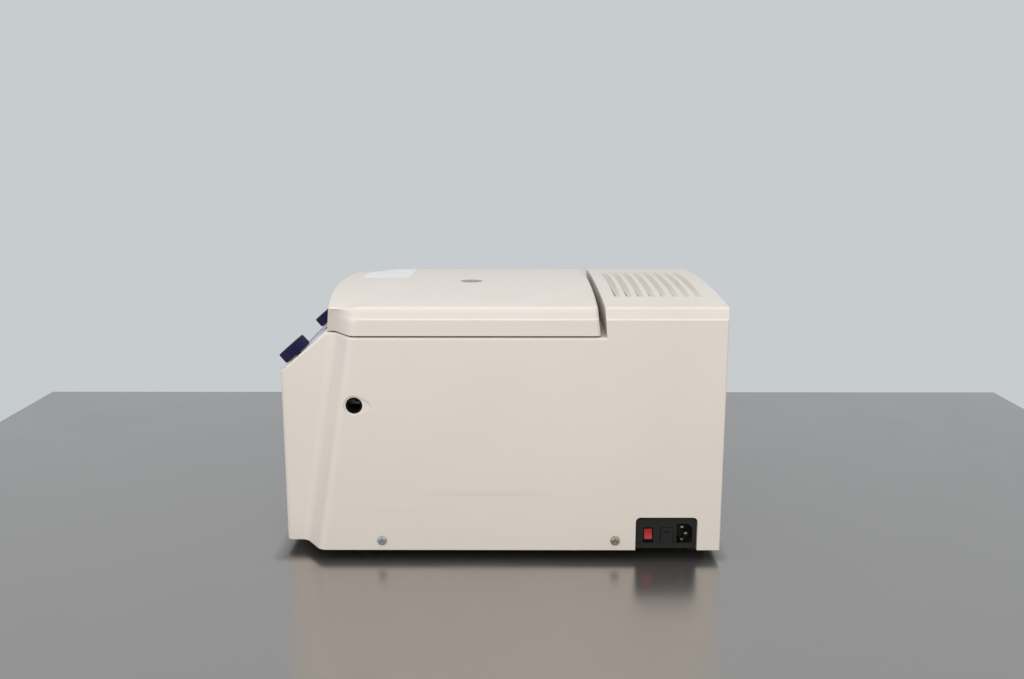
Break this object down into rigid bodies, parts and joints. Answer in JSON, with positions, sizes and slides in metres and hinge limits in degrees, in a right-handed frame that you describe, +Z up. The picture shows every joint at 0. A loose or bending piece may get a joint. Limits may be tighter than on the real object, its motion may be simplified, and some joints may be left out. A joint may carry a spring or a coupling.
{
  "type": "refrigerated centrifuge",
  "caption": "Benchtop refrigerated laboratory centrifuge with a hinged crowned lid, louvred rear hood, sloped control panel, angled rotor in a cooled bowl and side mains inlet.",
  "frame": {"origin": "on the table under the middle of the machine", "axes": "+X is the machine's right side with the mains inlet, -Y is the front with the control panel, +Z is up"},
  "size_m": [0.2972, 0.4589, 0.271],
  "materials": {
    "casing": "satin, fine moulded grain",
    "tray_steel": "zinc plated sheet",
    "rubber_black": "matt rubber",
    "chrome_screw": "bright plated",
    "grille_grey": "satin paint",
    "fascia": "fine satin film",
    "clear_window": "clear",
    "display": "display glass",
    "circuit_board": "lacquered board",
    "black_plastic": "moulded",
    "steel": "brushed",
    "foam": "cast foam",
    "copper": "bare tube",
    "aluminium": "anodised",
    "knob_navy": "moulded, ribbed",
    "window_grey": "smooth",
    "key_grey": "moulded",
    "module_grey": "moulded",
    "pin_metal": "plated",
    "rocker_red": "smooth",
    "fuse_glass": "glass and plated caps",
    "compressor_black": "stoved enamel"
  },
  "bodies": {
    "root": {"housing": "casing", "base_plate": "tray_steel", "lock_frame": "tray_steel", "motor_plate": "tray_steel", "hinge_brackets": "tray_steel", "feet": "rubber_black", "bowl_gasket": "rubber_black", "shaft_boot": "rubber_black", "motor_isolators": "rubber_black", "compressor_mounts": "rubber_black", "casing_screws": "chrome_screw", "rear_grille": "grille_grey", "control_panel": "fascia", "display_window": "clear_window", "display_module": "display", "control_board": "circuit_board", "power_board": "circuit_board", "encoders": "black_plastic", "release_bush": "black_plastic", "fan_frame": "black_plastic", "bowl": "steel", "bearings": "steel", "hinge_pins": "steel", "lock_solenoid": "steel", "motor_stator": "steel", "bowl_insulation": "foam", "evaporator_coil": "copper", "refrigerant_pipes": "copper", "filter_drier": "copper", "motor_housing": "aluminium", "condenser": "aluminium", "power_inlet": "module_grey", "inlet_pins": "pin_metal", "compressor": "compressor_black"},
    "lid": {"lid_shell": "casing", "lid_liner": "casing", "lid_window": "window_grey", "sight_tube": "black_plastic", "lid_seal": "rubber_black", "lid_striker": "steel", "hinge_knuckles": "steel"},
    "rotor": {"drive_shaft": "steel", "motor_armature": "steel", "rotor": "aluminium", "rotor_lid": "aluminium"},
    "rotor_knob": {"rotor_knob": "knob_navy"},
    "lock": {"lock_slide": "steel", "release_rod": "steel"},
    "knob_left": {"knob_left": "knob_navy"},
    "knob_right": {"knob_right": "knob_navy"},
    "rocker": {"rocker": "rocker_red"},
    "fuse_drawer": {"fuse_drawer": "module_grey", "fuses": "fuse_glass"},
    "fan": {"fan_impeller": "black_plastic"},
    "key_start": {"key_start": "key_grey"},
    "key_stop": {"key_stop": "key_grey"},
    "key_open": {"key_open": "key_grey"},
    "key_pulse": {"key_pulse": "key_grey"},
    "key_cooler": {"key_cooler": "key_grey"},
    "key_warmer": {"key_warmer": "key_grey"}
  },
  "joints": [
    {"name": "lid_hinge", "type": "hinge", "parent": "root", "child": "lid", "pos_m": [0, 0.094, 0.263], "axis": [-1, 0, 0], "range_deg": [0, 78]},
    {"name": "rotor_spin", "type": "hinge", "parent": "root", "child": "rotor", "pos_m": [0, -0.032, 0.12], "axis": [0, 0, 1], "continuous": true},
    {"name": "rotor_lock_turn", "type": "hinge", "parent": "rotor", "child": "rotor_knob", "pos_m": [0, -0.032, 0.21], "axis": [0, 0, 1], "range_deg": [0, 90]},
    {"name": "bolt_slide", "type": "slide", "parent": "root", "child": "lock", "axis": [-1, 0, 0], "range_m": [0, 0.01]},
    {"name": "knob_left_turn", "type": "hinge", "parent": "root", "child": "knob_left", "pos_m": [-0.1, -0.21248, 0.21315], "axis": [0, -0.6521, 0.7581], "continuous": true},
    {"name": "knob_right_turn", "type": "hinge", "parent": "root", "child": "knob_right", "pos_m": [0.1, -0.21248, 0.21315], "axis": [0, -0.6521, 0.7581], "continuous": true},
    {"name": "rocker_tilt", "type": "hinge", "parent": "root", "child": "rocker", "pos_m": [0.134, 0.1557, 0.0245], "axis": [0, 1, 0], "range_deg": [0, 18]},
    {"name": "drawer_slide", "type": "slide", "parent": "root", "child": "fuse_drawer", "axis": [1, 0, 0], "range_m": [0, 0.014]},
    {"name": "fan_spin", "type": "hinge", "parent": "root", "child": "fan", "pos_m": [0.068, 0.206, 0.13], "axis": [0, 1, 0], "continuous": true},
    {"name": "key_start_press", "type": "slide", "parent": "root", "child": "key_start", "axis": [0, 0.6521, -0.7581], "range_m": [0, 0.0008], "stiffness_N_per_m": 400},
    {"name": "key_stop_press", "type": "slide", "parent": "root", "child": "key_stop", "axis": [0, 0.6521, -0.7581], "range_m": [0, 0.0008], "stiffness_N_per_m": 400},
    {"name": "key_open_press", "type": "slide", "parent": "root", "child": "key_open", "axis": [0, 0.6521, -0.7581], "range_m": [0, 0.0008], "stiffness_N_per_m": 400},
    {"name": "key_pulse_press", "type": "slide", "parent": "root", "child": "key_pulse", "axis": [0, 0.6521, -0.7581], "range_m": [0, 0.0008], "stiffness_N_per_m": 400},
    {"name": "key_cooler_press", "type": "slide", "parent": "root", "child": "key_cooler", "axis": [0, 0.6521, -0.7581], "range_m": [0, 0.0008], "stiffness_N_per_m": 400},
    {"name": "key_warmer_press", "type": "slide", "parent": "root", "child": "key_warmer", "axis": [0, 0.6521, -0.7581], "range_m": [0, 0.0008], "stiffness_N_per_m": 400}
  ]
}
